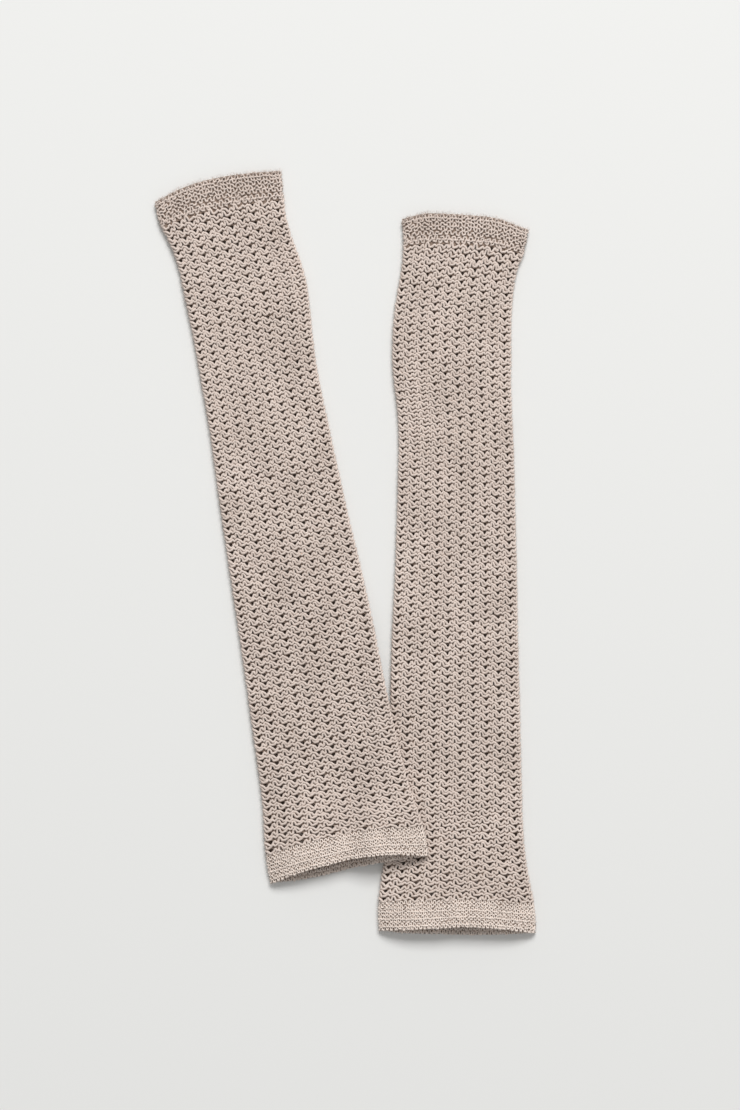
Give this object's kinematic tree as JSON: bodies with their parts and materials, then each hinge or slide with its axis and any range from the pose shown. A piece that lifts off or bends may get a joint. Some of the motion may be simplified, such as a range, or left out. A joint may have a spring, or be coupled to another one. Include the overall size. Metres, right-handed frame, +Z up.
{
  "type": "pair of knitted arm warmers laid flat",
  "caption": "Long knitted openwork arm warmers laid flat, one crossing the other, each a flattened tube with plain bands at both ends.",
  "frame": {"origin": "middle of the pair's outline, on the surface the pair lies on", "axes": "+Y towards the wrist ends, +X towards the right arm warmer, +Z up from the surface"},
  "size_m": [0.255, 0.5092, 0.0173],
  "materials": {
    "eyelet_knit": "matte openwork cotton knit, warm taupe",
    "arm_band_knit": "matte dense cotton knit, warm taupe",
    "wrist_band_knit": "matte ridged cotton knit, warm taupe"
  },
  "bodies": {
    "root": {"left_tube": "eyelet_knit", "left_wrist_band": "wrist_band_knit", "left_arm_band": "arm_band_knit", "right_tube": "eyelet_knit", "right_wrist_band": "wrist_band_knit", "right_arm_band": "arm_band_knit"}
  },
  "joints": []
}
